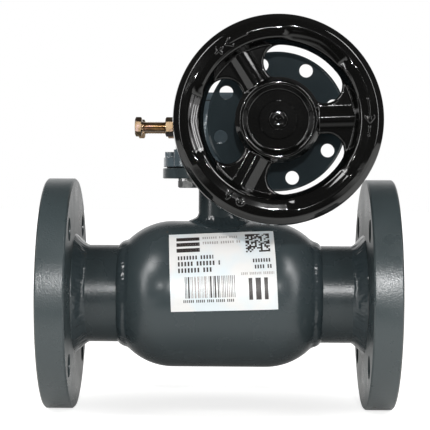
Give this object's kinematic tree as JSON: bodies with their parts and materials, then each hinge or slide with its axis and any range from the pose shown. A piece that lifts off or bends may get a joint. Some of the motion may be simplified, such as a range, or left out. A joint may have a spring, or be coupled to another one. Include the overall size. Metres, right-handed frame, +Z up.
{
  "type": "flanged ball valve",
  "caption": "Welded-body ball valve with flat flanges, a quarter-turn worm gear operator and a pressed handwheel.",
  "frame": {"origin": "centre of the ball, where the flow axis meets the stem axis", "axes": "+X along the pipe to the right flange, +Y away from the handwheel, +Z up the stem"},
  "size_m": [0.27, 0.205, 0.2985],
  "materials": {
    "body_paint": "satin grey paint",
    "disc_paint": "satin grey paint",
    "operator_paint": "glossy grey paint on a casting",
    "wheel_enamel": "glossy black enamel",
    "yellow_zinc": "yellow passivated zinc",
    "bright_zinc": "bright zinc",
    "turned_steel": "turned",
    "spring_steel": "oiled",
    "polished_ball": "polished",
    "seat_plastic": "turned PTFE",
    "seal_rubber": "smooth",
    "gasket_sheet": "pressed fibre",
    "quadrant_iron": "milled teeth",
    "bush_bronze": "turned bronze",
    "dial_plastic": "moulded",
    "sticker": "printed film"
  },
  "bodies": {
    "valve_body": {"body_shell": "body_paint", "left_pipe": "body_paint", "right_pipe": "body_paint", "left_flange": "body_paint", "right_flange": "body_paint", "left_flange_weld": "body_paint", "right_flange_weld": "body_paint", "left_face_weld": "body_paint", "right_face_weld": "body_paint", "left_body_weld": "body_paint", "right_body_weld": "body_paint", "neck_tube": "body_paint", "neck_weld": "body_paint", "mounting_plate": "body_paint", "plate_weld": "body_paint", "locking_disc": "disc_paint", "gearbox_housing": "operator_paint", "gearbox_cover": "operator_paint", "nose_cap": "operator_paint", "rear_cap": "operator_paint", "stop_bolts": "yellow_zinc", "stop_locknuts": "yellow_zinc", "stop_washers": "yellow_zinc", "mounting_bolts": "bright_zinc", "spring_washers": "bright_zinc", "cover_screws": "bright_zinc", "cap_screws": "bright_zinc", "disc_screws": "bright_zinc", "left_seat_holder": "turned_steel", "right_seat_holder": "turned_steel", "left_spring_stop": "turned_steel", "right_spring_stop": "turned_steel", "left_disc_spring": "spring_steel", "right_disc_spring": "spring_steel", "left_seat_ring": "seat_plastic", "right_seat_ring": "seat_plastic", "stem_thrust_washer": "seat_plastic", "lower_stem_bush": "seat_plastic", "upper_stem_bush": "seat_plastic", "left_seat_o_ring": "seal_rubber", "right_seat_o_ring": "seal_rubber", "shaft_seal": "seal_rubber", "base_gasket": "gasket_sheet", "cover_gasket": "gasket_sheet", "front_worm_bush": "bush_bronze", "rear_worm_bush": "bush_bronze"},
    "stem_train": {"ball": "polished_ball", "stem": "turned_steel", "stem_key": "turned_steel", "stem_o_rings": "seal_rubber", "quadrant_gear": "quadrant_iron", "position_indicator": "dial_plastic"},
    "wheel_shaft": {"handwheel": "wheel_enamel", "wheel_hub": "wheel_enamel", "hub_pin": "turned_steel", "worm_shaft": "turned_steel", "worm_thrust_washers": "bush_bronze"}
  },
  "joints": [
    {"name": "handwheel_spin", "type": "hinge", "parent": "valve_body", "child": "wheel_shaft", "pos_m": [0.042, 0, 0.1325], "axis": [0, 1, 0], "range_deg": [0, 2700]},
    {"name": "stem_turn", "type": "hinge", "parent": "valve_body", "child": "stem_train", "pos_m": [0, 0, 0], "axis": [0, 0, -1], "range_deg": [0, 90]}
  ],
  "couplings": [
    {"joint": "stem_turn", "follows": "handwheel_spin", "ratio": 0.033333}
  ]
}
